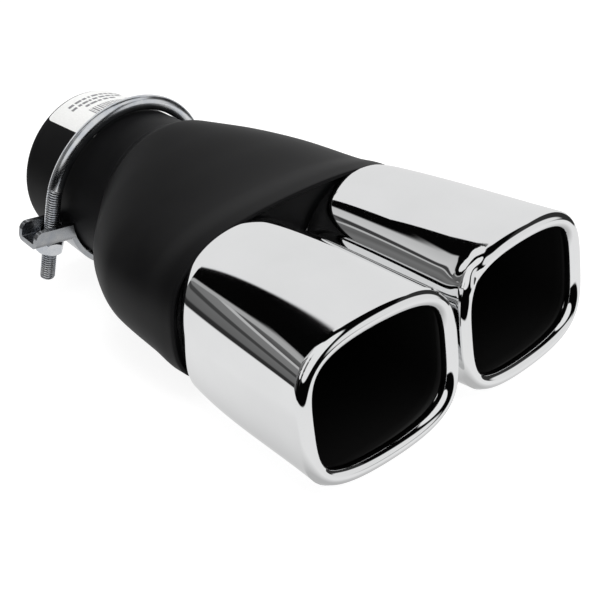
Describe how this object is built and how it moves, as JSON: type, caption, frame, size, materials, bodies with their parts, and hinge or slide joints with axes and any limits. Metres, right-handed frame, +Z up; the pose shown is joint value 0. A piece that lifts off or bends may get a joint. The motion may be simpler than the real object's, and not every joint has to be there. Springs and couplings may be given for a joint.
{
  "type": "exhaust tip",
  "caption": "Clamp-on tailpipe trim: a round inlet swells into a flattened black body that feeds oval chrome outlets with rolled, slanted rims.",
  "frame": {"origin": "on the bore axis, in the plane of the inlet's open end", "axes": "+X from the inlet toward the outlets, +Z up with the clamp's legs pointing down, +Y toward the right tip"},
  "size_m": [0.2057, 0.142, 0.0782],
  "materials": {
    "black_shell": "satin black heat-proof paint",
    "bright_tip": "polished bright metal",
    "plated_clamp": "bright zinc plating",
    "paper_label": "white printed paper"
  },
  "bodies": {
    "root": {"body_shell": "black_shell", "front_plate": "black_shell", "left_tip": "bright_tip", "right_tip": "bright_tip", "u_bolt": "plated_clamp", "clamp_saddle": "plated_clamp", "clamp_nut_left": "plated_clamp", "clamp_nut_right": "plated_clamp", "inlet_label": "paper_label"}
  },
  "joints": []
}
